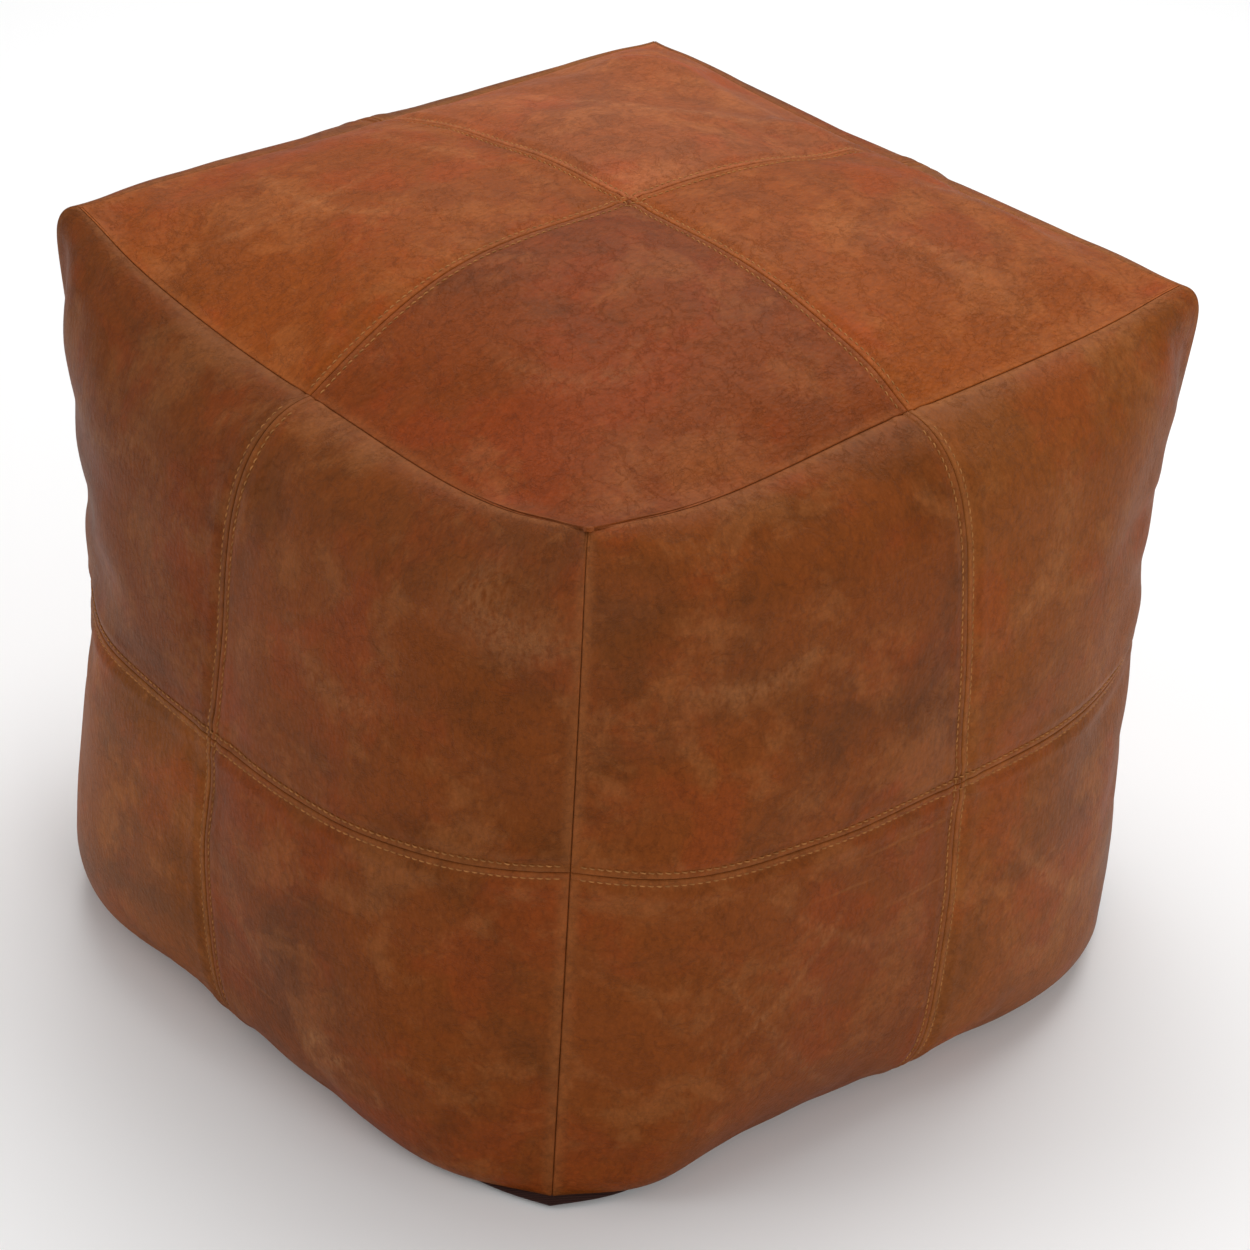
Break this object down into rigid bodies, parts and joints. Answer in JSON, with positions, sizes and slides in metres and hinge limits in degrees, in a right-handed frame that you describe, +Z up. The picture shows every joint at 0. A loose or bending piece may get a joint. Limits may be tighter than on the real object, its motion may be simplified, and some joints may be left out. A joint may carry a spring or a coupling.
{
  "type": "leather pouf",
  "caption": "Square stuffed leather pouf used as a footstool or low seat, sewn from leather patches over a filled liner, with a zipped cloth base.",
  "frame": {"origin": "centre of the footprint on the floor", "axes": "+Z up; the front face looks along -Y and the right face along +X; the base zip runs along X"},
  "size_m": [0.5788, 0.5788, 0.4543],
  "materials": {
    "leather_amber": "waxed pull-up leather, satin, mottled",
    "leather_russet": "waxed pull-up leather, satin, mottled",
    "leather_pale": "waxed pull-up leather, satin, mottled",
    "leather_chestnut": "waxed pull-up leather, satin, mottled",
    "leather_walnut": "waxed pull-up leather, satin, mottled",
    "leather_tan": "waxed pull-up leather, satin, mottled",
    "base_cloth": "dark maroon woven cloth, matte",
    "waxed_thread": "waxed polyester thread, satin",
    "zip_tape": "woven tape, matte",
    "zip_brass": "aged brass, satin",
    "calico": "unbleached calico, matte",
    "fibre_filling": "loose fibre, matte"
  },
  "bodies": {
    "pouf": {"back_lower_left": "leather_chestnut", "back_lower_right": "leather_walnut", "back_upper_left": "leather_tan", "back_upper_right": "leather_chestnut", "base_back": "base_cloth", "base_front": "base_cloth", "base_tab_left": "leather_walnut", "base_tab_right": "leather_walnut", "filling": "fibre_filling", "front_lower_left": "leather_walnut", "front_lower_right": "leather_chestnut", "front_upper_left": "leather_chestnut", "front_upper_right": "leather_chestnut", "left_lower_left": "leather_chestnut", "left_lower_right": "leather_chestnut", "left_upper_left": "leather_walnut", "left_upper_right": "leather_chestnut", "liner_bag": "calico", "right_lower_left": "leather_chestnut", "right_lower_right": "leather_tan", "right_upper_left": "leather_chestnut", "right_upper_right": "leather_tan", "top_back_left": "leather_pale", "top_back_right": "leather_amber", "top_front_left": "leather_amber", "top_front_right": "leather_russet", "topstitch_back_left": "waxed_thread", "topstitch_back_lower": "waxed_thread", "topstitch_back_right": "waxed_thread", "topstitch_back_upper": "waxed_thread", "topstitch_front_left": "waxed_thread", "topstitch_front_lower": "waxed_thread", "topstitch_front_right": "waxed_thread", "topstitch_front_upper": "waxed_thread", "topstitch_left_left": "waxed_thread", "topstitch_left_lower": "waxed_thread", "topstitch_left_right": "waxed_thread", "topstitch_left_upper": "waxed_thread", "topstitch_right_left": "waxed_thread", "topstitch_right_lower": "waxed_thread", "topstitch_right_right": "waxed_thread", "topstitch_right_upper": "waxed_thread", "topstitch_top_left": "waxed_thread", "topstitch_top_lower": "waxed_thread", "topstitch_top_right": "waxed_thread", "topstitch_top_upper": "waxed_thread", "zip_bottom_stop": "zip_brass", "zip_tape_back": "zip_tape", "zip_tape_front": "zip_tape", "zip_teeth_back": "zip_brass", "zip_teeth_front": "zip_brass", "zip_top_stop_back": "zip_brass", "zip_top_stop_front": "zip_brass"},
    "slider": {"zip_slider": "zip_brass"},
    "pull": {"zip_pull": "zip_brass"}
  },
  "joints": [
    {"name": "zip_slide", "type": "slide", "parent": "pouf", "child": "slider", "axis": [1, 0, 0], "range_m": [0, 0.2939], "deforming": ["zip_teeth_front", "zip_teeth_back"]},
    {"name": "pull_swing", "type": "hinge", "parent": "slider", "child": "pull", "pos_m": [-0.1503, 0, 0.005], "axis": [0, 1, 0], "range_deg": [0, 165]}
  ]
}
